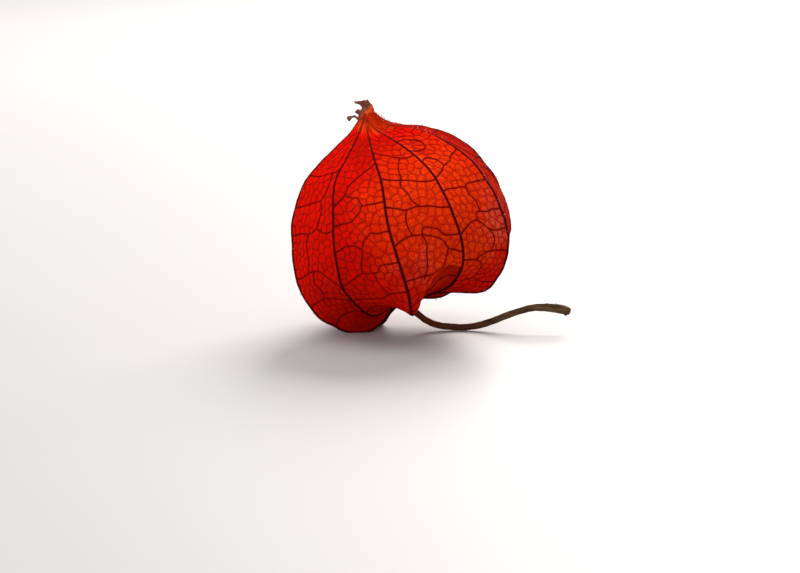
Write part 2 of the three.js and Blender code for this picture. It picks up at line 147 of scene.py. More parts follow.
def ribAt(index, row):
    rib = index % ribCount
    share = row / rowCount
    keel = splineThrough(huskForm["mainProfile"], share)
    hollow = splineThrough(huskForm["middleProfile"], share)
    profile = np.where(ribIsMain[rib][..., None], keel, hollow)
    azimuth = splineThrough(ribAzimuth.T, share)
    reach = splineThrough(ribReach.T, share)
    azimuth = np.take_along_axis(azimuth, rib[..., None], -1)[..., 0] + np.where(index < ribCount, 0, 360)
    reach = np.take_along_axis(reach, rib[..., None], -1)[..., 0]
    hang = ribDroop[rib] * bell(row, *huskForm["lobes"])
    rise = ribShoulder[rib] * bell(row, *huskForm["shoulders"])
    radius = profile[..., 0] * reach
    height = profile[..., 1] - hang + rise
    for one, middle, spread, turn, out, lift in huskForm["nudges"]:
        share = np.where(rib == one, bell(row, middle, spread), 0)
        azimuth = azimuth + turn * share
        radius = radius + out * share
        height = height + lift * share
    return np.radians(azimuth), radius, height


def huskPoint(place, row):
    # place counts ribs round the husk, and rows run upwards
    place, row = np.broadcast_arrays(np.asarray(place, float), np.asarray(row, float))
    turned = np.mod(place, ribCount)
    index = np.floor(turned).astype(int)
    across = turned - index
    leftAzimuth, leftRadius, leftHeight = ribAt(index, row)
    rightAzimuth, rightRadius, rightHeight = ribAt(index + 1, row)
    eased = across - huskForm["keelRounding"] * np.sin(2 * np.pi * across) / (2 * np.pi)
    azimuth = leftAzimuth + (rightAzimuth - leftAzimuth) * across
    radius = leftRadius + (rightRadius - leftRadius) * eased
    height = leftHeight + (rightHeight - leftHeight) * eased
    sag = radius * (1 - np.cos((rightAzimuth - leftAzimuth) / 2)) * 4 * across * (1 - across)
    turn = 2 * np.pi * turned / ribCount
    wave = sum(share * np.sin(turns * turn + phase * row) for share, turns, phase in huskForm["waves"])
    ripple = huskForm["crinkle"] * wave * np.sin(np.pi * row / rowCount)
    radius = radius - huskForm["panelFlatness"] * sag + ripple
    centre = splineThrough(huskForm["centreLine"], row / rowCount)
    x = centre[..., 0] + radius * np.sin(azimuth)
    y = centre[..., 1] - radius * np.cos(azimuth)
    return placed(x, y, height)


def huskNormal(place, row):
    step = 0.05
    around = huskPoint(place + step, row) - huskPoint(place - step, row)
    along = huskPoint(place, np.minimum(row + step, rowCount)) - huskPoint(place, np.maximum(row - step, 0))
    return unit(np.cross(around, along))


# finer shaping of the papery wall over that form
wallShape = {
    "keelHeight": 0.42,  # the wall rises to each rib
    "keelWidth": 0.9,
    "keelEnds": (0.3, 3),  # share of it at both ends of a rib, and the rows it fades over
    "inset": 0.38,  # and lies that far in
    "groundEase": 0.4,  # how softly the lobes flatten where they rest
    "crumple": [(0.16, 3.4), (0.05, 0.9)],  # height and size of the small dents all over
    "creasePanel": 2,  # one panel turns in under a crease near its foot
    "creaseRows": [3.6, 4.8, 5.55, 5.7, 5.25],  # from the left rib to the right one
    "creaseDepth": 2.4,
    "creaseFade": 2.4,  # rows
    "creaseSoftness": 0.16,  # rows
    "creaseEnds": 0.7,  # how bluntly it ends at the ribs
    "creaseLip": (0.35, -0.25, 0.3),  # height, rows under the crease, spread
    # local pushes of the wall: place, row, spread in each, and how far in millimetres
    "pushes": [(2.0, 4.0, 0.2, 0.9, (-0.6, 0, -1.3))],
    "pleats": 2,  # fine folds a panel that gather at the neck
    "pleatHeight": 0.1,
    "pleatRow": 12.6,  # where they start
    "pleatFade": (2, 0.4),  # rows that they fade over at each end
}


def panelWidth(panel, row):
    return np.linalg.norm(huskPoint(panel + 1, row) - huskPoint(panel, row), axis=-1)


def keelLift(place, row):
    across = np.mod(place, 1)
    toRib = np.minimum(across, 1 - across) * panelWidth(np.floor(place), row)
    least, rows = wallShape["keelEnds"]
    fade = np.minimum(1, least + np.minimum(row, rowCount - row) / rows)
    return fade * (wallShape["keelHeight"] * bell(toRib, 0, wallShape["keelWidth"]) - wallShape["inset"])


def creaseLift(place, row):
    across = np.clip(place - wallShape["creasePanel"], 0, 1)
    below = smoothValues(wallShape["creaseRows"], across) - row
    inside = np.sin(np.pi * across) ** wallShape["creaseEnds"]
    push = np.clip(below / wallShape["creaseSoftness"], 0, 1) * np.exp(-np.maximum(below, 0) / wallShape["creaseFade"])
    height, under, spread = wallShape["creaseLip"]
    lip = height * bell(below, under, spread)
    return inside * (lip - wallShape["creaseDepth"] * push)


def pleatLift(place, row):
    start, end = wallShape["pleatFade"]
    fade = np.clip((row - wallShape["pleatRow"]) / start, 0, 1) * np.clip((rowCount - row) / end, 0, 1)
    return wallShape["pleatHeight"] * fade * np.cos(2 * np.pi * wallShape["pleats"] * place)


def crumpleLift(points):
    lifts = []
    for point in points.reshape(-1, 3):
        lifts.append(sum(height * noise.noise(Vector(point) * (1 / size)) for height, size in wallShape["crumple"]))
    return np.array(lifts).reshape(points.shape[:-1])


def wallPoint(place, row, out=0.0):
    place, row = np.broadcast_arrays(np.asarray(place, float), np.asarray(row, float))
    base = huskPoint(place, row)
    lift = out + keelLift(place, row) + creaseLift(place, row) + pleatLift(place, row) + crumpleLift(base)
    point = base + huskNormal(place, row) * lift[..., None]
    for middle, middleRow, wide, tall, push in wallShape["pushes"]:
        share = bell(place, middle, wide) * bell(row, middleRow, tall)
        point = point + share[..., None] * push
    height = point[..., 2]
    ease = wallShape["groundEase"]
    point[..., 2] = np.where(height < ease, ease * np.exp(np.minimum(height / ease - 1, 0)), height)
    return point


# the berry's centre in the fruit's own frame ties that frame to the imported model
berry = {
    "radius": 6.5,
    "tilt": 14,  # degrees that it leans back from the husk's axis
    "receptacleHeight": 2.9,  # of the receptacle's top over the attachment
    "gap": 0.3,
    "rings": 48,
    "segments": 72,
    "wrinkle": 0.10,
    "wrinkles": [(1, 3.1), (0.5, 7.3)],  # share of the height, and how many round it
    "dimple": (0.5, 0.02),  # depth and spread at its top
}

berryTilt = math.radians(berry["tilt"])
berryAxis = placed(0.0, math.sin(berryTilt), math.cos(berryTilt)) - attachment
receptacleTop = placed(0.0, 0.0, berry["receptacleHeight"])
berryCentre = receptacleTop + berryAxis * (berry["radius"] + berry["gap"])
berryLow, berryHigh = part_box("berry")
shift = np.array((berryLow + berryHigh) / 2) - berryCentre * mm


def inRow(points):
    # from millimetres in the fruit's frame to metres in the shared one
    return np.asarray(points) * mm + shift


view = {
    "elevation": 10,  # degrees over the horizon
    "roll": 1,  # degrees
    "lens": 150,
    "sensor": 36,
    "pixelsPerMm": 4.93,
    "imageWidth": 800,
    "aim": (0.0, 0.0, 8.8),
}


def makeCamera():
    distance = view["lens"] / view["sensor"] * view["imageWidth"] / view["pixelsPerMm"] * mm
    tilt = math.radians(view["elevation"])
    aim = Vector(inRow(view["aim"]))
    away = Vector((0, -math.cos(tilt), math.sin(tilt)))
    bpy.ops.object.camera_add(location=aim + away * distance)
    camera = bpy.context.object
    camera.data.lens = view["lens"]
    camera.data.sensor_width = view["sensor"]
    camera.data.clip_start = 0.01
    camera.data.clip_end = 20
    camera.rotation_euler = (math.radians(90) - tilt, 0, 0)
    bpy.context.view_layer.update()
    camera.rotation_euler.rotate_axis("Z", math.radians(view["roll"]))
    bpy.context.scene.camera = camera


makeCamera()
print("camera placed")


def makeNodes(name):
    material = bpy.data.materials.new(name)
    material.use_nodes = True
    tree = material.node_tree
    return material, tree, tree.nodes["Principled BSDF"]


def fill(tree, socket, value):
    if isinstance(value, bpy.types.NodeSocket):
        tree.links.new(value, socket)
    else:
        socket.default_value = (*value, 1) if socket.type == "RGBA" else value


def fillSockets(tree, node, **values):
    for key, value in values.items():
        fill(tree, node.inputs[key.replace("_", " ")], value)


def addNode(tree, kind, settings=(), **values):
    node = tree.nodes.new("ShaderNode" + kind)
    for key, value in dict(settings).items():
        setattr(node, key, value)
    fillSockets(tree, node, **values)
    return node


def combine(tree, operation, *values, clamp=False):
    node = addNode(tree, "Math", {"operation": operation, "use_clamp": clamp})
    for socket, value in zip(node.inputs, values):
        fill(tree, socket, value)
    return node.outputs["Value"]


def remap(tree, value, start, end, top=1.0, shape="LINEAR"):
    # rises from 0 to the top as the value goes from the start to the end
    return addNode(tree, "MapRange", {"interpolation_type": shape}, Value=value, From_Min=start,
                   From_Max=end, To_Max=top).outputs["Result"]


def addNoise(tree, vector, scale, detail=2.0, roughness=0.5):
    return addNode(tree, "TexNoise", Vector=vector, Scale=scale, Detail=detail,
                   Roughness=roughness).outputs["Fac"]


def attribute(tree, name):
    return addNode(tree, "Attribute", {"attribute_name": name}).outputs["Fac"]


def twoColours(tree, share, first, second, stops=(0.35, 0.65)):
    node = addNode(tree, "ValToRGB", Fac=share)
    for element, position, colour in zip(node.color_ramp.elements, stops, (first, second)):
        element.position = position
        element.color = (*colour, 1)
    return node.outputs["Color"]


def mixColour(tree, share, first, second):
    node = addNode(tree, "Mix", {"data_type": "RGBA"})
    for index, value in ((0, share), (6, first), (7, second)):
        fill(tree, node.inputs[index], value)
    return node.outputs[2]


def named(piece, name):
    piece.name = name
    piece.data.name = name
    return piece


def pick(*pieces):
    bpy.ops.object.select_all(action="DESELECT")
    for piece in pieces:
        piece.select_set(True)
    bpy.context.view_layer.objects.active = pieces[0]


def joined(pieces, name):
    pick(*pieces)
    bpy.ops.object.join()
    return named(bpy.context.object, name)


def meshPoints(piece):
    coords = np.empty(len(piece.data.vertices) * 3)
    piece.data.vertices.foreach_get("co", coords)
    return coords.reshape(-1, 3)


def movePoints(piece, points):
    piece.data.vertices.foreach_set("co", points.ravel())
    piece.data.update()


def writeAttribute(piece, name, values):
    piece.data.attributes.new(name, "FLOAT", "POINT").data.foreach_set("value", values.astype(np.float32))


def finishPiece(piece, material, replaced=None):
    # no vertex under the ground, smooth shading, its material and body, and the part it replaces hidden
    points = meshPoints(piece)
    points[:, 2] = np.maximum(points[:, 2], 0)
    movePoints(piece, points)
    piece.data.materials.clear()
    piece.data.materials.append(material)
    pick(piece)
    bpy.ops.object.shade_smooth_by_angle(angle=math.radians(60))
    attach(piece, "root")
    if replaced:
        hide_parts(replaced)
    print(piece.name, "has", len(piece.data.polygons), "faces")


def wrapGrid(name, around, along, pointAt, closed=True):
    # a grid primitive wrapped into a tube: pointAt gives millimetres for shares round and along it
    bpy.ops.mesh.primitive_grid_add(x_subdivisions=around, y_subdivisions=along, size=2)
    piece = named(bpy.context.object, name)
    shares = (meshPoints(piece) + 1) / 2
    movePoints(piece, inRow(pointAt(shares[:, 0], shares[:, 1])))
    bpy.ops.object.mode_set(mode="EDIT")
    bpy.ops.mesh.select_all(action="SELECT")
    bpy.ops.mesh.remove_doubles(threshold=0.0004 * mm)
    if closed:
        bpy.ops.mesh.select_all(action="DESELECT")
        bpy.ops.mesh.select_non_manifold(extend=False)
        bpy.ops.mesh.fill()
        bpy.ops.mesh.select_all(action="SELECT")
        bpy.ops.mesh.normals_make_consistent(inside=False)
    bpy.ops.mesh.select_all(action="DESELECT")
    bpy.ops.object.mode_set(mode="OBJECT")
    return piece


def makeCords(name, paths, sides):
    # round cords along paths of (points, radii), joined in one mesh
    curve = bpy.data.curves.new(name, "CURVE")
    curve.dimensions = "3D"
    curve.bevel_depth = mm
    curve.bevel_resolution = sides
    curve.use_fill_caps = True
    for points, radii in paths:
        spline = curve.splines.new("POLY")
        spline.points.add(len(points) - 1)
        spots = np.ones((len(points), 4))
        spots[:, :3] = inRow(points)
        spline.points.foreach_set("co", spots.ravel())
        spline.points.foreach_set("radius", np.asarray(radii, float))
    cords = bpy.data.objects.new(name, curve)
    bpy.context.collection.objects.link(cords)
    pick(cords)
    bpy.ops.object.convert(target="MESH")
    return named(bpy.context.object, name)


# veins between the ribs, each through (percent across the panel, row)
sideVeins = {
    "panels": {
        0: [
            [(0, 11.0), (35, 11.05), (75, 11.25), (100, 11.35)],
            [(0, 9.4), (35, 9.6), (62, 9.75), (75, 10.2), (80, 10.7), (75, 11.25)],
            [(0, 8.1), (20, 8.2), (50, 8.2), (62, 8.4), (80, 8.15), (100, 8.2)],
            [(62, 8.4), (66, 8.8), (70, 9.2), (62, 9.75)],
            [(0, 6.1), (20, 6.2), (40, 6.35), (52, 6.4), (65, 6.2), (78, 5.75), (90, 5.35), (100, 4.9)],
            [(40, 6.35), (42, 7.0), (38, 7.6), (42, 8.2)],
            [(0, 4.6), (30, 4.75), (60, 4.6), (100, 3.9)],
            [(45, 4.7), (50, 5.3), (45, 5.8), (52, 6.4)],
            [(0, 3.1), (40, 3.4), (70, 3.2), (100, 2.7)],
        ],
        1: [
            [(100, 11.6), (72, 11.3), (52, 11.0), (37, 10.7), (28, 10.4), (23, 10.0), (12, 9.65), (0, 9.35)],
            [(100, 9.6), (80, 9.55), (58, 9.45), (53, 9.2), (45, 8.95), (36, 8.7), (18, 8.55), (0, 8.45)],
            [(58, 9.45), (50, 9.85), (38, 9.85), (23, 10.0)],
            [(100, 8.25), (82, 8.2), (70, 8.2), (60, 8.0), (54, 7.75), (49, 7.4), (45, 7.0), (40, 6.6), (38, 6.15),
             (27, 5.85), (12, 5.45), (0, 5.2)],
            [(49, 7.4), (36, 7.55), (24, 7.5), (10, 7.35), (0, 7.1)],
            [(100, 6.85), (85, 6.75), (70, 6.6), (62, 6.3), (45, 6.15), (38, 6.15)],
            [(100, 5.35), (80, 5.2), (65, 4.9), (55, 4.6), (30, 4.3), (0, 4.0)],
            [(100, 3.9), (60, 3.6), (30, 3.2), (0, 2.7)],
            [(55, 6.2), (60, 5.7), (72, 5.05)],
        ],
        2: [
            [(0, 10.7), (30, 10.55), (55, 10.35), (80, 10.1), (100, 10.05)],
            [(0, 9.33), (17, 9.2), (26, 9.05), (32, 9.0), (41, 9.05), (54, 9.0), (66, 8.95), (85, 8.7), (100, 8.55)],
            [(32, 9.0), (27, 8.6), (29, 8.2), (30, 7.78)],
            [(0, 7.55), (12, 7.75), (28, 7.8), (46, 7.7), (60, 7.45), (72, 7.14), (77, 6.67), (88, 6.45), (100, 6.2)],
            [(100, 7.2), (85, 7.3), (78, 7.35), (70, 7.7), (60, 7.9), (50, 7.98), (46, 7.7)],
            [(63, 11.7), (45, 11.2), (38, 10.6), (33, 10.2), (43, 9.64), (47, 9.25), (54, 9.0)],
            [(0, 12.2), (30, 12.05), (63, 11.7), (100, 11.6)],
            [(46, 7.7), (47, 7.2), (43, 6.7), (38, 6.2), (30, 5.6)],
            [(77, 6.67), (70, 6.2), (62, 5.85), (40, 5.75), (0, 5.9)],
            [(0, 4.3), (40, 4.2), (70, 4.5), (100, 4.6)],
        ],
        3: [
            [(0, 9.35), (15, 9.5), (35, 9.47), (53, 9.42), (62, 9.6), (80, 9.6), (100, 9.55)],
            [(100, 8.1), (85, 8.15), (70, 8.1), (57, 8.15), (49, 8.05), (45, 7.75)],
            [(45, 7.75), (35, 7.72), (22, 7.5), (8, 7.25), (0, 7.15)],
            [(45, 7.75), (52, 7.5), (63, 7.2), (80, 7.15), (100, 7.2)],
            [(100, 11.4), (85, 11.3), (70, 11.15), (55, 10.9), (40, 10.75), (15, 10.3), (0, 10.15)],
            [(0, 11.1), (20, 11.4), (35, 11.2), (40, 10.75)],
            [(0, 12.6), (35, 12.7), (55, 12.3), (40, 11.9), (0, 11.9)],
            [(0, 5.7), (15, 5.65), (27, 5.6), (40, 5.4), (44, 5.0), (40, 4.5), (20, 4.2), (0, 4.2)],
            [(100, 6.05), (80, 6.1), (60, 6.1), (42, 6.0), (27, 5.6)],
            [(53, 9.42), (55, 9.0), (60, 8.6), (57, 8.15)],
            [(63, 7.2), (68, 6.7), (60, 6.1)],
            [(100, 4.4), (70, 4.3), (40, 4.5)],
        ],
    },
    # the other panels' veins grow by themselves, in rows
    "seed": 23,
    "firstRow": 2.7,
    "lastRow": 12.6,
    "rowStep": 1.45,
    "stepChange": (0.8, 1.2),
    "slant": 0.3,
    "arch": 0.35,
    "archChange": (-0.25, 0.15),
    "bend": 0.16,
    "radius": 0.17,
    "thinnest": 0.12,
    "lift": 0.05,
    "step": 0.45,  # between two points of a cord
}


def grownVeins(panel):
    # cross veins that arch from rib to rib, and short ones that join them like brickwork
    draw = random.Random(sideVeins["seed"] + panel)
    veins = []
    row = sideVeins["firstRow"] + draw.uniform(0, 0.6)
    slant = sideVeins["slant"]
    bend = sideVeins["bend"]
    below = None
    while row < sideVeins["lastRow"]:
        start = row + draw.uniform(-slant, slant)
        end = row + draw.uniform(-slant, slant)
        middle = draw.uniform(0.35, 0.65)
        top = (start + end) / 2 + sideVeins["arch"] + draw.uniform(*sideVeins["archChange"])
        cross = [(0, start), (middle / 2, (start + top) / 2 + 0.1), (middle, top),
                 ((1 + middle) / 2, (end + top) / 2 + 0.1), (1, end)]
        veins.append(cross)
        if below:
            foot = below[draw.choice((1, 2, 3))]
            head = cross[draw.choice((1, 2, 3))]
            between = ((foot[0] + head[0]) / 2 + draw.uniform(-bend, bend), (foot[1] + head[1]) / 2)
            veins.append([foot, between, head])
        below = cross
        row += sideVeins["rowStep"] * draw.uniform(*sideVeins["stepChange"])
    return veins


class Gore:
    # one panel laid flat: x across it and y along it in millimetres
    def __init__(self, panel):
        self.panel = panel
        self.rows = np.linspace(0, rowCount, 161)
        self.arcs = lengthsAlong(huskPoint(panel + 0.5, self.rows))
        self.widths = panelWidth(panel, self.rows)

    def half(self, y):
        return np.interp(y, self.arcs, self.widths) / 2

    def flat(self, across, row):
        width = np.interp(row, self.rows, self.widths)
        return (np.asarray(across) - 0.5) * width, np.interp(row, self.rows, self.arcs)

    def places(self, x, y):
        row = np.interp(y, self.arcs, self.rows)
        across = np.asarray(x) / np.interp(row, self.rows, self.widths) + 0.5
        return self.panel + np.clip(across, 0, 0.9999), row


wander = {"size": 1.5, "amount": 0.22, "still": 1.2, "apart": 7.3}


def wandering(gore, x, y):
    # the veins' small bends, the same for all that meet at a point, and none at the ribs
    size = wander["size"]
    still = np.clip((gore.half(y) - np.abs(x)) / wander["still"], 0, 1)
    moved = []
    for across, along, ease in zip(x, y, still):
        push = noise.noise_vector(Vector((across / size, along / size, wander["apart"] * gore.panel)))
        moved.append((across + push.x * wander["amount"] * ease, along + push.y * wander["amount"] * ease))
    return np.array(moved).T


def smoothPath(gore, vein):
    # a vein's points on the flat panel, closely spaced along a smooth curve
    x, y = gore.flat([point[0] for point in vein], [point[1] for point in vein])
    corners = np.stack((x, y), -1)
    length = np.linalg.norm(np.diff(corners, axis=0), axis=1).sum()
    count = max(4, int(length / sideVeins["step"]))
    return splineThrough(corners, np.linspace(0, 1, count + 1))


# the fine net inside the veins' meshes
fineNet = {
    "cell": 1.95,
    "offset": 0.42,  # in cells, as the next five: from a seed to its rib or vein
    "margin": 0.3,  # from a seed to its vein's end, or from a loose one to a rib
    "room": (0.55, 0.6),  # that a seed needs beside a vein and beside a rib
    "spacing": (0.75, 1.0),
    "ribSpacing": (0.75, 1.05),
    "longest": 3,  # of the walls between cells
    "seed": 5,
    "radius": 0.085,
    "lift": 0.03,
    "narrowest": 3.0,  # panel with a net, in millimetres
    "tries": 5200,
    "sizes": (0.62, 0.75, 0.9, 1.15, 1.3),  # of cells between the veins
    "weights": (0.75, 1.4),  # of an edge's radius
    "faint": {4: 0.75},  # panels with a finer net
}


def netSeeds(gore, veins, draw):
    # a seed for each cell: pairs along the ribs and veins, and a scatter between them
    cell = fineNet["cell"]
    off = fineNet["offset"] * cell
    margin = fineNet["margin"] * cell
    veinRoom, ribRoom = fineNet["room"]
    seeds = []

    def free(x, y, reach):
        return all((x - other[0]) ** 2 + (y - other[1]) ** 2 > reach ** 2 for other in seeds)

    def addPair(kind, *spots):
        pair = (kind, len(seeds))
        seeds.extend((x, y, pair) for x, y in spots)

    for vein in veins:
        path = smoothPath(gore, vein)
        along = lengthsAlong(path)
        at = draw.uniform(0.3, 0.6) * cell
        while at < along[-1] - margin:
            here, ahead, behind = (np.array([np.interp(spot, along, path[:, axis]) for axis in (0, 1)])
                                   for spot in (at, at + 0.1, at - 0.1))
            forward = (ahead - behind) / (np.linalg.norm(ahead - behind) + 1e-9)
            sideways = np.array((-forward[1], forward[0])) * off
            left, right = here + sideways, here - sideways
            if free(*left, veinRoom * cell) and free(*right, veinRoom * cell):
                addPair("vein", left, right)
            at += cell * draw.uniform(*fineNet["spacing"])
    for side in (-1, 1):
        y = cell
        while y < gore.arcs[-1] - cell:
            edge = side * gore.half(y)
            if free(edge - side * off, y, ribRoom * cell) and abs(edge) > ribRoom * cell:
                addPair("rib", (edge - side * off, y), (edge + side * off, y))
            y += cell * draw.uniform(*fineNet["ribSpacing"])
    widest = gore.widths.max() / 2
    for attempt in range(fineNet["tries"]):
        x = draw.uniform(-widest, widest)
        y = draw.uniform(0, gore.arcs[-1])
        apart = cell * draw.choice(fineNet["sizes"])
        if abs(x) < gore.half(y) - margin and free(x, y, apart):
            addPair("cell", (x, y))
    return seeds


def roundCentre(a, b, c):
    # the centre of the circle through three points
    turn = 2 * (a[0] * (b[1] - c[1]) + b[0] * (c[1] - a[1]) + c[0] * (a[1] - b[1]))
    if abs(turn) < 1e-9:
        return None
    sizes = [p[0] ** 2 + p[1] ** 2 for p in (a, b, c)]
    x = (sizes[0] * (b[1] - c[1]) + sizes[1] * (c[1] - a[1]) + sizes[2] * (a[1] - b[1])) / turn
    y = (sizes[0] * (c[0] - b[0]) + sizes[1] * (a[0] - c[0]) + sizes[2] * (b[0] - a[0])) / turn
    return x, y


def netEdges(gore, seeds):
    # the walls between neighbouring cells, as pairs of flat points
    spots = [Vector(seed[:2]) for seed in seeds]
    corners, _, triangles, origins, _, _ = geometry.delaunay_2d_cdt(spots, [], [], 0, 1e-6)
    owner = [origin[0] if origin else None for origin in origins]
    sides = {}
    for triangle in triangles:
        centre = roundCentre(*[corners[corner] for corner in triangle])
        if centre is None:
            continue
        for first, second in zip(triangle, triangle[1:] + triangle[:1]):
            sides.setdefault((min(first, second), max(first, second)), []).append(centre)
    edges = []
    for (first, second), centres in sides.items():
        one, two = seeds[owner[first]], seeds[owner[second]]
        if len(centres) != 2 or one[2] == two[2]:
            continue
        if any(abs(x) > gore.half(y) for x, y, pair in (one, two)):
            continue
        ends = []
        for x, y in centres:
            half = gore.half(y)
            ends.append((min(max(x, -half), half), min(max(y, 0), gore.arcs[-1])))
        wide = 2 * gore.half((ends[0][1] + ends[1][1]) / 2)
        if 0.05 < math.dist(*ends) < fineNet["longest"] * fineNet["cell"] and wide > fineNet["narrowest"]:
            edges.append(ends)
    return edges


def growVeins():
    # every vein and net edge of the husk as (places, rows, kind, weight)
    draw = random.Random(fineNet["seed"])
    lines = []

    def addLine(path, kind, weight):
        x, y = wandering(gore, path[:, 0], path[:, 1])
        lines.append((*gore.places(x, y), kind, weight))

    for panel in range(ribCount):
        gore = Gore(panel)
        drawn = sideVeins["panels"].get(panel, [])
        veins = [[(across / 100, row) for across, row in vein] for vein in drawn] or grownVeins(panel)
        for vein in veins:
            addLine(smoothPath(gore, vein), "vein", 1)
        for start, end in netEdges(gore, netSeeds(gore, veins, draw)):
            count = max(2, int(math.dist(start, end) / sideVeins["step"]) + 1)
            weight = draw.uniform(*fineNet["weights"]) * fineNet["faint"].get(panel, 1)
            addLine(np.linspace(start, end, count + 1), "net", weight)
    return lines


veinLines = growVeins()
print("veins grown:", len(veinLines))

ribCords = {
    "firstRow": 0.1,
    "lastRow": 15.9,
    "count": 170,
    "radii": [0.3, 0.36, 0.34, 0.31, 0.29, 0.27, 0.23, 0.17, 0.09],  # from the stalk to the neck
    "lift": -0.06,
}


def cordPaths(kind, settings):
    # wall points and radii for all lines of one kind, thinning from the ribs inwards
    paths = []
    for places, rows, lineKind, weight in veinLines:
        if lineKind != kind:
            continue
        points = wallPoint(places, rows, settings["lift"])
        across = np.mod(places, 1)
        toRib = np.minimum(across, 1 - across)
        thick = settings["radius"]
        thin = settings.get("thinnest", thick)
        slim = np.clip(0.35 + np.minimum(rows, rowCount - rows) / 4, 0.4, 1)
        paths.append((points, (thick + (thin - thick) * np.clip(toRib / 0.4, 0, 1)) * slim * weight))
    return paths


def ribPaths():
    rows = np.linspace(ribCords["firstRow"], ribCords["lastRow"], ribCords["count"])
    radii = smoothValues(ribCords["radii"], rows / rowCount)
    return [(wallPoint(np.full(len(rows), float(rib)), rows, ribCords["lift"]), radii) for rib in range(ribCount)]


skin = {
    "facesPerPanel": 28,
    "along": 150,
    "thickness": 0.2,
    "puff": 0.16,  # how far the wall swells between the veins
    "puffReach": 0.55,
    "collar": (0.9, -0.3),  # radius of the ring at the stalk, and its height over the first row
    "mouth": (0.45, 0.5),
    "baseTurn": 0.03,  # share of the length that turns in at each end
    "neckTurn": 0.02,
    "goreWidth": 18.0,  # of one panel's strip in the UV map
    "goreLength": 72.0,
    "creaseShadeEdge": 0.5,  # how far the painted shade of the turned-in wall reaches past it
}

huskAxis = placed(0.0, 0.0, 1.0) - attachment


def turnIn(points, share, row, inner, rise):
    # draws a ring of points in to a smaller one about the husk's axis
    x, y = splineThrough(huskForm["centreLine"], row / rowCount)
    centre = placed(x, y, huskForm["mainProfile"][row][1])
    offset = points - centre
    up = offset @ huskAxis
    spoke = offset - up[:, None] * huskAxis
    long = np.linalg.norm(spoke, axis=1)
    turn = share * math.pi / 2
    wanted = long + (inner - long) * np.sin(turn)
    lifted = up + rise * (1 - np.cos(turn))
    return centre + spoke / long[:, None] * wanted[:, None] + lifted[:, None] * huskAxis


def nearTree(points):
    tree = kdtree.KDTree(len(points))
    for index, point in enumerate(points):
        tree.insert(point, index)
    tree.balance()
    return tree


def howNear(tree, points):
    return np.array([tree.find(point)[2] for point in points])


def foldedPoints():
    # spots all over the wall that is turned in under the crease
    across, below = np.meshgrid(np.linspace(0.12, 0.95, 40), np.linspace(0.12, 2.4, 30))
    rows = smoothValues(wallShape["creaseRows"], across) - below
    return wallPoint(wallShape["creasePanel"] + across, rows).reshape(-1, 3)


def makeSkin(tree, foldTree):
    low, high = skin["baseTurn"], 1 - skin["neckTurn"]

    def pointAt(around, along):
        place = np.mod(around * ribCount, ribCount)
        row = np.clip((along - low) / (high - low), 0, 1) * rowCount
        fade = np.clip(np.minimum(row, rowCount - row) / 3, 0, 1)
        toVein = howNear(tree, wallPoint(place, row))
        swell = skin["puff"] * fade * (1 - np.exp(-(toVein / skin["puffReach"]) ** 2))
        points = wallPoint(place, row, swell)
        atBase = along < low
        atNeck = along > high
        points[atBase] = turnIn(points[atBase], 1 - along[atBase] / low, 0, *skin["collar"])
        points[atNeck] = turnIn(points[atNeck], (along[atNeck] - high) / skin["neckTurn"], rowCount, *skin["mouth"])
        return points

    piece = wrapGrid("husk_skin", skin["facesPerPanel"] * ribCount, skin["along"], pointAt, closed=False)
    mesh = piece.data

    # each panel gets its own flat strip in the UV map
    uv = np.empty(len(mesh.loops) * 2)
    mesh.uv_layers[0].data.foreach_get("uv", uv)
    uv = uv.reshape(-1, 4, 2)
    panels = np.floor(uv[:, :, 0].mean(axis=1) * ribCount).astype(int)
    flat = np.empty_like(uv)
    for panel in range(ribCount):
        mine = panels == panel
        row = np.clip((uv[mine][:, :, 1] - low) / (high - low), 0, 1) * rowCount
        x, y = Gore(panel).flat(uv[mine][:, :, 0] * ribCount - panel, row)
        flat[mine, :, 0] = (panel + 0.5 + x / skin["goreWidth"]) / ribCount
        flat[mine, :, 1] = y / skin["goreLength"]
    mesh.uv_layers[0].data.foreach_set("uv", flat.ravel())

    points = (meshPoints(piece) - shift) / mm
    writeAttribute(piece, "toVein", howNear(tree, points))
    # where the wall turns in under the crease, for its painted shade
    writeAttribute(piece, "creaseShading", np.clip(1 - howNear(foldTree, points) / skin["creaseShadeEdge"], 0, 1))

    wall = piece.modifiers.new("wall", "SOLIDIFY")
    wall.thickness = skin["thickness"] * mm
    wall.offset = -1
    bpy.ops.object.modifier_apply(modifier="wall")
    return piece


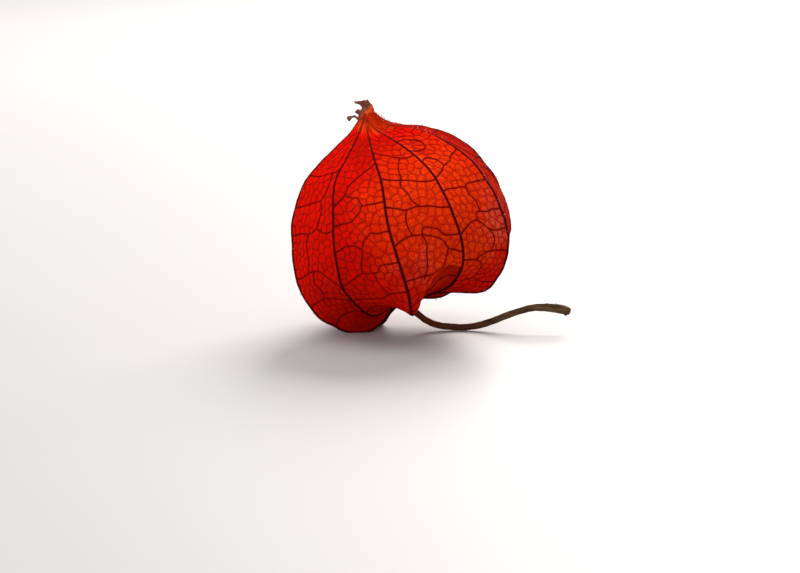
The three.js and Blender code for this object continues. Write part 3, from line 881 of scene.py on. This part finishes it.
# the dry tips round the mouth: widths, thickness, turn about its path, and the path from the neck's centre
huskTips = {
    "neck": (-0.9, 1.5, 39.4),
    "tips": [
        ((0.9, 0.6, 0.5, 0.55, 1.15), 0.9, 60,
         [(-0.6, -0.2, -2.1), (-1.7, -0.4, -1.45), (-2.4, -0.4, -1.0), (-3.1, -0.4, -1.15), (-3.85, -0.4, -1.75)]),
        ((1.7, 1.9, 1.5, 0.6), 0.34, 80,
         [(-0.4, -0.6, -2.0), (-0.7, -0.9, -0.9), (-1.3, -0.9, -0.2), (-2.2, -0.8, 0.35)]),
        ((1.6, 2.1, 1.7, 1.0, 0.25), 0.34, 75,
         [(0.1, 0.2, -0.6), (0.2, 0.1, 0.6), (-0.4, 0.0, 1.3), (-1.5, -0.2, 1.72), (-2.85, -0.2, 1.85)]),
        ((1.3, 1.3, 0.9, 0.35), 0.34, 70, [(0.1, 0.6, -0.6), (0.3, 0.5, 0.7), (0.1, 0.2, 1.5), (-0.1, 0.0, 2.5)]),
        ((1.2, 1.1, 0.9, 0.4), 0.34, 85, [(0.6, -0.4, -1.2), (0.9, -0.6, -0.2), (1.1, -0.5, 0.4), (1.25, -0.4, 0.95)]),
    ],
    "curl": 0.5,
    "roundEnd": 0.08,
    "crumple": 0.35,
    "crumpleSize": 0.7,
    "around": 24,
    "along": 30,
    # radius and height of the dry collar that they grow from, up its outside and down its inside
    "collar": [(1.2, -0.9), (1.26, -0.1), (1.12, 0.4), (0.98, 0.85), (0.9, 1.1), (0.78, 1.05), (0.68, 0.6),
               (0.55, -0.1), (0.45, -0.9)],
    "ridges": (0.07, 7, 2),  # height, how many round the collar, and their twist
    "dryHeight": (0.1, 1.2),  # over the neck, where the dry colour starts and is full
}

neckCentre = placed(*huskTips["neck"])


def crumpled(points, amount, offset):
    size = huskTips["crumpleSize"]
    push = [noise.noise_vector(Vector(point) / size + Vector((offset, 0, 0))) for point in points]
    return points + np.array(push) * huskTips["crumple"] * np.asarray(amount)[:, None]


def markDry(piece, least):
    # from fresh and red at the neck to dry and brown a little way up, or out
    offset = (meshPoints(piece) - shift) / mm - neckCentre
    start, full = huskTips["dryHeight"]
    upwards = (offset[:, 2] - offset[:, 0] - start) / (full - start)
    away = np.maximum(upwards, np.hypot(offset[:, 0], offset[:, 1]) - 1.2)
    writeAttribute(piece, "dryness", np.clip(away, least, 1))


def roundedEnd(share, length):
    # narrows what ends at share 0 to a rounded end
    return np.sqrt(np.clip(1 - np.clip(1 - share / length, 0, 1) ** 2, 0.02, 1))


def makeTips():
    pieces = []
    for number, (widths, thickness, turned, path) in enumerate(huskTips["tips"]):
        path = np.array(path) + neckCentre
        side = unit(np.cross((0, 0, 1), path[-1] - neckCentre))
        tilt = math.radians(turned)

        def tipPoint(around, along):
            over = np.cross(heading(path, along, 0.02), side)
            broad = side * math.cos(tilt) + over * math.sin(tilt)
            thick = over * math.cos(tilt) - side * math.sin(tilt)
            half = smoothValues(widths, along) / 2
            blunt = roundedEnd(1 - along, huskTips["roundEnd"])
            turn = 2 * np.pi * around
            across = np.cos(turn)
            deep = np.minimum(thickness / 2, half)
            curl = huskTips["curl"] * along * across ** 2 * half
            points = splineThrough(path, along) + (across * half * blunt)[:, None] * broad
            points = points + (np.sin(turn) * deep * blunt + curl)[:, None] * thick
            return crumpled(points, np.minimum(1, along * 2) * min(1, half.max()), number * 3.1)

        pieces.append(wrapGrid("tip", huskTips["around"], huskTips["along"], tipPoint))
        markDry(pieces[-1], 0.12 * number)

    def collarPoint(around, along):
        outline = splineThrough(huskTips["collar"], along)
        turn = 2 * np.pi * around
        spoke = np.stack((np.sin(turn), -np.cos(turn), 0 * turn), -1)
        height, count, twist = huskTips["ridges"]
        ridges = 1 + height * np.cos(count * turn + twist * along)
        points = neckCentre + outline[:, :1] * ridges[:, None] * spoke + outline[:, 1:] * (0.09, 0, 1)
        return crumpled(points, np.clip((outline[:, 1] + 0.5) / 1.5, 0.05, 0.6), 9.0)

    collar = wrapGrid("collar", 60, 32, collarPoint)
    markDry(collar, 0)
    return joined([collar] + pieces, "husk_tips")


stalk = {
    "path": [(34.7, 0, 4.1), (33.2, 0, 4.65), (30.5, 0, 4.98), (27.5, 0, 4.98), (25, 0, 4.4), (22, -0.05, 3.35),
             (18.4, -0.1, 1.85), (14.7, -0.3, 0.85), (10.9, -0.6, 0.75), (7.8, -0.9, 1.15), (5.4, -1.2, 2.15),
             (3.65, -1.4, 3.5), (2.1, -1.5, 4.9), (0.95, -1.5, 6.1), (0.3, -1.5, 7.3), (0.05, -1.4, 8.3)],
    "radii": [0.82, 0.9, 0.72, 0.66, 0.66, 0.64, 0.64, 0.64, 0.64, 0.62, 0.64, 0.8],
    "ridges": 5,
    "ridgeHeight": 0.06,
    "twist": 0.8,
    "bumps": 0.07,
    "bumpSize": 1.1,
    "warts": (0.45, 0.25, 1.6),  # height, share of the wall without any, and how dense they are
    "wartEnd": 0.3,  # share of the length that has them
    "around": 40,
    "along": 260,
    "roundEnd": 0.035,
    # radius and height of the seat that the berry grows on, over the receptacle's top
    "seat": [(0.9, -1.4), (1.1, -0.9), (1.7, -0.65), (2.2, -0.45), (2.4, -0.2), (2.2, -0.02), (1.2, 0.0), (0.02, 0.0)],
}


def makeStalk():
    path = np.array(stalk["path"], float)

    def stalkPoint(around, along):
        line = splineThrough(path, along)
        ahead = heading(path, along, 0.004)
        side = unit(np.cross(ahead, (0, 1, 0)))
        other = np.cross(side, ahead)
        turn = 2 * np.pi * around
        radius = smoothValues(stalk["radii"], along)
        radius = radius + stalk["ridgeHeight"] * np.cos(stalk["ridges"] * (turn + stalk["twist"] * along))
        radius = radius * roundedEnd(along, stalk["roundEnd"])
        rough = []
        tall, bare, dense = stalk["warts"]
        for point, x, y, share in zip(line, np.cos(turn), np.sin(turn), along):
            at = Vector((point[0], point[2] * 0.5, 0)) / stalk["bumpSize"] + Vector((0, x, y))
            wart = max(0, noise.noise(at * dense + Vector((9, 0, 0))) - bare) * max(0, 1 - share / stalk["wartEnd"])
            rough.append(stalk["bumps"] * (noise.noise(at) + 0.5 * noise.noise(at * 2.7)) + tall * wart)
        radius = radius + np.array(rough)
        return line + (np.cos(turn) * radius)[:, None] * side + (np.sin(turn) * radius)[:, None] * other

    def seatPoint(around, along):
        outline = splineThrough(stalk["seat"], along)
        turn = 2 * np.pi * around
        side = unit(np.cross(berryAxis, (0, 1, 0)))
        other = np.cross(berryAxis, side)
        spoke = np.cos(turn)[:, None] * side + np.sin(turn)[:, None] * other
        return receptacleTop + outline[:, :1] * spoke + outline[:, 1:] * berryAxis

    shaft = wrapGrid("shaft", stalk["around"], stalk["along"], stalkPoint)
    seat = wrapGrid("seat", 48, 24, seatPoint)
    return joined([shaft, seat], "stalk_and_seat")


def makeBerry():
    centre = inRow(berryCentre)
    bpy.ops.mesh.primitive_uv_sphere_add(segments=berry["segments"], ring_count=berry["rings"],
                                         radius=berry["radius"] * mm, location=centre)
    piece = named(bpy.context.object, "berry_fruit")
    piece.rotation_euler = Vector((0, 0, 1)).rotation_difference(Vector(berryAxis)).to_euler()
    bpy.ops.object.transform_apply(location=True, rotation=True, scale=True)
    axis = Vector(berryAxis).normalized()
    middle = Vector(centre)
    depth, spread = berry["dimple"]
    for vertex in piece.data.vertices:
        spoke = (vertex.co - middle).normalized()
        wrinkle = sum(share * noise.noise(spoke * size) for share, size in berry["wrinkles"])
        dent = depth * math.exp(-(1 - spoke.dot(axis)) / spread)
        radius = berry["radius"] - berry["wrinkle"] * (0.6 + wrinkle) - dent
        vertex.co = middle + spoke * radius * mm
    return piece


hairs = {
    "count": 470,
    "seed": 41,
    "length": (0.3, 0.85),
    "radius": 0.05,
    "shares": (5, 0.3, 1, 0.3, 2.5, 18, 9, 4, 3, 3),  # on each rib in turn
    "scatter": 0.03,  # from the rib, in panels
    "sway": 0.35,
    "bend": 0.12,
}


def hairPaths():
    draw = random.Random(hairs["seed"])
    places = []
    rows = []
    for rib in draw.choices(range(ribCount), hairs["shares"], k=hairs["count"]):
        places.append(rib + draw.gauss(0, hairs["scatter"]))
        rows.append(draw.uniform(1, 15.6))
    places, rows = np.array(places), np.array(rows)
    roots = wallPoint(places, rows)
    normals = huskNormal(places, rows)
    paths = []
    for root, normal in zip(roots, normals):
        length = draw.uniform(*hairs["length"])
        tip = unit(normal + [draw.gauss(0, hairs["sway"]) for axis in range(3)])
        bend = np.array([draw.gauss(0, hairs["bend"]) for axis in range(3)]) * length
        points = [root - 0.1 * tip, root + tip * length * 0.55 + bend * 0.4, root + tip * length + bend]
        if min(point[2] for point in points) < 0.05:
            continue
        paths.append((np.array(points), [hairs["radius"], hairs["radius"] * 0.8, 0.006]))
    return paths


skinLook = {
    "base": (0.74, 0.0035, 0.0012),
    # tints in soft patches: place, distances where each is full and gone, mm its edge wanders, strength, colour, and
    # whether the edge follows the grain along the ribs
    "tints": [
        # orange patches: painted glow, where light shining through the wall turns it orange
        ((9, -20, 28), 8, 22, 14, 1.0, (1.0, 0.05, 0.003), False),
        ((-8, 20, 26), 5, 17, 14, 0.9, (1.0, 0.05, 0.003), False),
        ((19, 9, 24), 4, 14, 14, 0.8, (1.0, 0.05, 0.003), False),
        # pale salmon patches: painted sheen, where front light reflects off the wall
        ((17, -10, 25), 3, 9, 14, 0.7, (0.92, 0.13, 0.08), False),
        ((3, -22, 17), 1, 6, 14, 0.45, (0.85, 0.15, 0.09), False),
        # a dark patch: painted shadow on the wall beside a rib near the top
        ((-6.8, -9, 36), 0.8, 6.2, 6, 0.8, (0.32, 0.002, 0.001), False),
        # an orange streak: painted glow along a ridge at the neck
        ((-5.3, -2, 42.6), 1.5, 5.2, 6, 0.95, (0.98, 0.08, 0.005), True),
        ((-5.3, -2, 42.6), 1.0, 6.0, -16, 0.75, (0.26, 0.003, 0.001), True),
        ((-9.0, -1, 43.7), 0.3, 2.4, 2, 0.8, (0.13, 0.02, 0.01), True),
        ((-6.0, -3, 45.4), 0.5, 2.4, 2, 0.6, (0.25, 0.02, 0.006), True),
    ],
    "mottle": 130.0,
    "grain": (1.6, 0.12, 1),  # scale of the grain across and along a panel
    "dark": (0.40, 0.003, 0.001),  # in blotches
    "blotches": (0.45, 0.65, 0.22),  # noise where they start and are full, strength
    # painted shade: one panel, which turns away at a grazing angle, is painted darker and browner
    "panelShade": (0.17, 0.006, 0.0035),
    "shadedPanel": (4, 0.78),  # and how much of it
    # partly the husk's own deeper red at its foot, and partly painted shade near the stalk and the floor
    "deep": (0.60, 0.002, 0.001),
    "foot": (3, 22),  # millimetres along a panel where the deeper red starts to go and is gone
    # painted shade under the crease, and how strongly it shows
    "creaseShade": (0.26, 0.002, 0.001),
    "foldShade": 0.8,
    "net": (0.42, 0.008, 0.002),
    "cells": [(1.15, 0.10, 0.46), (0.62, 0.14, 0.52)],  # size in mm, width of line, strength
    "plain": (61, 56),  # millimetres along a panel, these nets fade from the second to the first
    "veinEdge": (0.45, 0.1, 0.45),  # millimetres from a vein where its shade starts and is full, strength
    "roughness": 0.7,
    "bump": 0.4,
    "glow": (1.0, 0.28, 0.06),
    "glowDepth": 0.5,
}


def nearness(tree, spot, edge, place, inner, outer, ragged, strength):
    # full within the inner distance of a place in millimetres, none past the outer one, with a ragged edge
    far = addNode(tree, "VectorMath", {"operation": "DISTANCE"})
    fill(tree, far.inputs[0], spot["Object"])
    fill(tree, far.inputs[1], inRow(place))
    worn = combine(tree, "MULTIPLY_ADD", edge, -ragged * mm, far.outputs["Value"])
    return remap(tree, worn, (outer - ragged / 2) * mm, (inner - ragged / 2) * mm, strength, "SMOOTHSTEP")


def skinMaterial():
    material, tree, shader = makeNodes("husk paper")
    spot = addNode(tree, "TexCoord").outputs
    strips = addNode(tree, "Mapping", Vector=spot["UV"],
                     Scale=(skin["goreWidth"] * ribCount, skin["goreLength"], 1)).outputs["Vector"]
    onPanel = addNode(tree, "SeparateXYZ", Vector=strips).outputs

    # red, with tints in soft patches, among them painted glow, painted sheen and painted shadow, and darker in
    # blotches
    patches = addNoise(tree, spot["Object"], skinLook["mottle"], 5, 0.6)
    stretched = addNode(tree, "Mapping", Vector=strips, Scale=skinLook["grain"])
    grain = addNoise(tree, stretched.outputs["Vector"], 1, 3)
    base = skinLook["base"]
    for *reach, tint, grained in skinLook["tints"]:
        base = mixColour(tree, nearness(tree, spot, grain if grained else patches, *reach), base, tint)
    blotches = addNoise(tree, spot["Object"], skinLook["mottle"] * 1.7, 3)
    base = mixColour(tree, remap(tree, blotches, *skinLook["blotches"]), base, skinLook["dark"])

    # painted shade on one panel, a darker red round the stalk that is partly painted shade, and painted shade in the
    # crease
    width = skin["goreWidth"]
    panel, share = skinLook["shadedPanel"]
    onShadedPanel = combine(tree, "COMPARE", onPanel["X"], (panel + 0.5) * width, width / 2)
    panelShading = remap(tree, onShadedPanel, 0, 1, share)
    base = mixColour(tree, panelShading, base, skinLook["panelShade"])
    # darker red at the foot: partly the husk's own colour, partly painted shade
    base = mixColour(tree, remap(tree, onPanel["Y"], *skinLook["foot"]), skinLook["deep"], base)
    # painted shade on the wall turned in under the crease
    creaseShading = remap(tree, attribute(tree, "creaseShading"), 0, 1, skinLook["foldShade"])
    base = mixColour(tree, creaseShading, base, skinLook["creaseShade"])

    # the finest nets, which fade on the panel painted in shade and at the neck
    clear = combine(tree, "SUBTRACT", remap(tree, onPanel["Y"], *skinLook["plain"]), panelShading, clamp=True)
    for size, width, strength in skinLook["cells"]:
        cells = addNode(tree, "TexVoronoi", {"voronoi_dimensions": "2D", "feature": "DISTANCE_TO_EDGE"},
                        Vector=strips, Scale=1 / size)
        lines = remap(tree, cells.outputs["Distance"], width, width * 0.2, strength)
        drawn = combine(tree, "MULTIPLY", lines, clear)
        base = mixColour(tree, drawn, base, skinLook["net"])
    base = mixColour(tree, remap(tree, attribute(tree, "toVein"), *skinLook["veinEdge"]), base, skinLook["net"])

    bump = addNode(tree, "Bump", Strength=skinLook["bump"], Distance=0.05 * mm, Height=drawn)
    fillSockets(tree, shader, Base_Color=base, Roughness=skinLook["roughness"], Specular_IOR_Level=0,
                Subsurface_Weight=1, Subsurface_Radius=skinLook["glow"], Subsurface_Scale=skinLook["glowDepth"] * mm,
                Normal=bump.outputs["Normal"])
    return material


# mottled colours, the third for a part of the piece, the mottling's scale and height, and the gloss
looks = {
    "husk rib": {"colours": [(0.045, 0.001, 0.001), (0.10, 0.002, 0.002), (0.45, 0.025, 0.004)], "scale": 900,
                 "bump": 0.4, "sheen": 0.02, "between": ("Z", 0.0400, 0.0435)},  # metres where the third starts
    "husk vein": {"colours": [(0.11, 0.001, 0.0005), (0.20, 0.003, 0.001)], "scale": 700, "sheen": 0.02},
    "husk net": {"colours": [(0.27, 0.002, 0.001), (0.43, 0.006, 0.002), (0.60, 0.012, 0.003)], "scale": 500,
                 "sheen": 0.02, "near": ((9, -20, 28), 8, 20, 6, 0.85)},  # painted glow: a lighter net near the skin's orange glow patch, in the terms of the skin's tints
    "dry tips": {"colours": [(0.10, 0.022, 0.014), (0.28, 0.085, 0.055), (0.80, 0.08, 0.01)], "scale": 1200,
                 "bump": 0.8, "roughness": 0.85, "freshUnder": 0.75},
    "husk hairs": {"colours": [(0.34, 0.15, 0.13), (0.54, 0.34, 0.31)], "scale": 400, "sheen": 0.05},
    "stalk": {"colours": [(0.045, 0.021, 0.009), (0.14, 0.08, 0.035), (0.15, 0.028, 0.009)], "scale": 900,
              "stretch": (0.25, 1, 1), "bump": 0.9, "roughness": 0.85, "sheen": 0.1, "between": ("X", 0.014, -0.004)},
    "berry": {"colours": [(0.62, 0.05, 0.008), (0.80, 0.13, 0.012)], "scale": 300, "roughness": 0.28},
}


def thirdShare(tree, spot, look):
    # how much of its third colour shows: between two places, near a place, or where the tips aren't dry
    if "between" in look:
        axis, start, end = look["between"]
        return remap(tree, addNode(tree, "SeparateXYZ", Vector=spot["Object"]).outputs[axis], start, end)
    if "near" in look:
        return nearness(tree, spot, addNoise(tree, spot["Object"], skinLook["mottle"]), *look["near"])
    return remap(tree, attribute(tree, "dryness"), look["freshUnder"], 0)


def plainMaterial(name):
    look = looks[name]
    material, tree, shader = makeNodes(name)
    spot = addNode(tree, "TexCoord").outputs
    placing = addNode(tree, "Mapping", Vector=spot["Object"], Scale=look.get("stretch", (1, 1, 1)))
    patches = addNoise(tree, placing.outputs["Vector"], look["scale"], 6, 0.65)
    colour = twoColours(tree, patches, *look["colours"][:2])
    if len(look["colours"]) > 2:
        colour = mixColour(tree, thirdShare(tree, spot, look), colour, look["colours"][2])
    fillSockets(tree, shader, Base_Color=colour, Roughness=look.get("roughness", 0.8),
                Specular_IOR_Level=look.get("sheen", 0.2))
    if "bump" in look:
        relief = addNode(tree, "Bump", Strength=look["bump"], Distance=0.1 * mm, Height=patches)
        fillSockets(tree, shader, Normal=relief.outputs["Normal"])
    return material


ribLines = ribPaths()
veinPaths = cordPaths("vein", sideVeins)
netPaths = cordPaths("net", fineNet)

nearVeins = nearTree(np.concatenate([points for points, radii in ribLines + veinPaths + netPaths]))
finishPiece(makeSkin(nearVeins, nearTree(foldedPoints())), skinMaterial(), "husk")
finishPiece(makeCords("husk_ribs", ribLines, 2), plainMaterial("husk rib"))
finishPiece(makeCords("husk_veins", veinPaths, 1), plainMaterial("husk vein"))
finishPiece(makeCords("husk_net", netPaths, 0), plainMaterial("husk net"))
finishPiece(makeTips(), plainMaterial("dry tips"))
finishPiece(makeCords("husk_hairs", hairPaths(), 0), plainMaterial("husk hairs"))
finishPiece(makeStalk(), plainMaterial("stalk"), "stem")
finishPiece(makeBerry(), plainMaterial("berry"), "berry")
print("fruit built")

studio = {
    "floor": (0.40, 0.396, 0.391),
    "floorSize": 14,
    "floorGrain": 6.0,
    "aim": (0, 0, 22),
    "air": (0.94, 0.97, 1.0),
    "airStrength": 0.6,
    # place in metres, size, power and colour of each soft light
    "lamps": [
        ((0.25, 0.70, 0.50), 0.50, 12.0, (1.0, 0.95, 0.90)),
        ((-0.30, -0.10, 1.70), 1.60, 17.0, (1.0, 0.99, 0.97)),
        ((-0.60, -0.70, 0.60), 0.70, 4.0, (1.0, 0.98, 0.96)),
    ],
}


def makeStudio():
    bpy.ops.mesh.primitive_plane_add(size=studio["floorSize"], location=(0, 0, 0))
    floor = bpy.context.object
    floor.name = "floor"
    material, tree, shader = makeNodes("floor")
    spot = addNode(tree, "TexCoord").outputs
    grain = addNoise(tree, spot["Object"], studio["floorGrain"])
    shade = tuple(value * 0.97 for value in studio["floor"])
    colour = twoColours(tree, grain, shade, studio["floor"], (0.3, 0.7))
    fillSockets(tree, shader, Base_Color=colour, Roughness=0.6)
    floor.data.materials.append(material)
    target = Vector(inRow(studio["aim"]))
    for place, size, power, colour in studio["lamps"]:
        bpy.ops.object.light_add(type="AREA", location=place)
        lamp = bpy.context.object
        lamp.data.size = size
        lamp.data.energy = power
        lamp.data.color = colour
        lamp.visible_camera = False
        lamp.rotation_euler = (target - Vector(place)).to_track_quat("-Z", "Y").to_euler()
    world = bpy.data.worlds.new("air")
    world.use_nodes = True
    fillSockets(world.node_tree, world.node_tree.nodes["Background"], Color=studio["air"],
                Strength=studio["airStrength"])
    bpy.context.scene.world = world
    bpy.context.scene.view_settings.view_transform = "Standard"


makeStudio()
print("studio lit")
